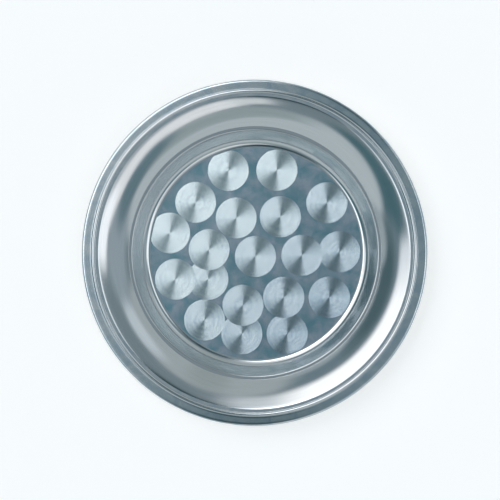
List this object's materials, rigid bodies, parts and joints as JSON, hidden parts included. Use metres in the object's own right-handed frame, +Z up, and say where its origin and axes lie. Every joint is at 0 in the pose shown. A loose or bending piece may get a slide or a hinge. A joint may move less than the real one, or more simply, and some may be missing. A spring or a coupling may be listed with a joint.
{
  "type": "round steel tray",
  "caption": "Round pressed steel tray with a flat spotted floor in a shallow well, a wide flared wall, a raised bead, a flat border and an edge rolled over a wire ring.",
  "frame": {"origin": "centre of the flat underside, where the tray stands", "axes": "+Z up along the tray's axis; +X and +Y lie in the plane it stands on, and the butted ends of the wire are at +X"},
  "size_m": [0.3, 0.3, 0.0289],
  "materials": {
    "dish_steel": "stainless sheet, polished wall and border, satin floor with overlapping engine-turned spots",
    "wire_steel": "bright drawn wire"
  },
  "bodies": {
    "root": {"dish": "dish_steel", "rim_wire": "wire_steel"}
  },
  "joints": []
}
